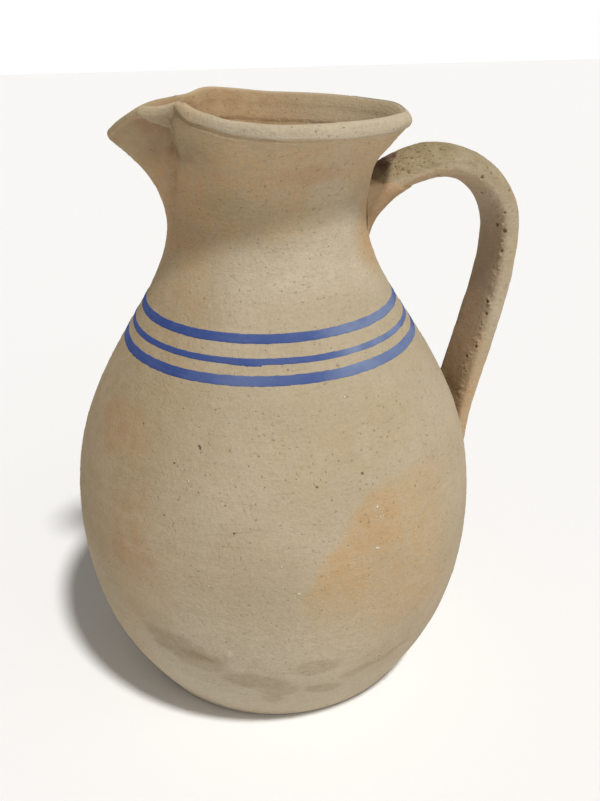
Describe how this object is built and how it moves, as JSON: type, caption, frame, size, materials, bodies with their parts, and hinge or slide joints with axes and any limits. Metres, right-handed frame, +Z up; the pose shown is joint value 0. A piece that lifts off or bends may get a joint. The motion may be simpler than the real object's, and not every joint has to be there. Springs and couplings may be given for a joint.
{
  "type": "clay jug",
  "caption": "Wheel-thrown clay pouring jug with a round belly, waisted neck, pinched beak spout, flat lip band, strap handle and thin blue slip bands round the shoulder.",
  "frame": {"origin": "centre of the foot, on the table", "axes": "+Z up, the spout points towards -X, and the handle stands out towards +X"},
  "size_m": [0.2182, 0.1898, 0.2733],
  "materials": {
    "clay": "unglazed, matte, khaki beige with an orange blush",
    "blue_slip": "matte brushed slip, powdery"
  },
  "bodies": {
    "root": {"body": "clay", "spout": "clay", "handle": "clay", "handle_web": "clay", "slip_band_upper": "blue_slip", "slip_band_middle": "blue_slip", "slip_band_lower": "blue_slip"}
  },
  "joints": []
}
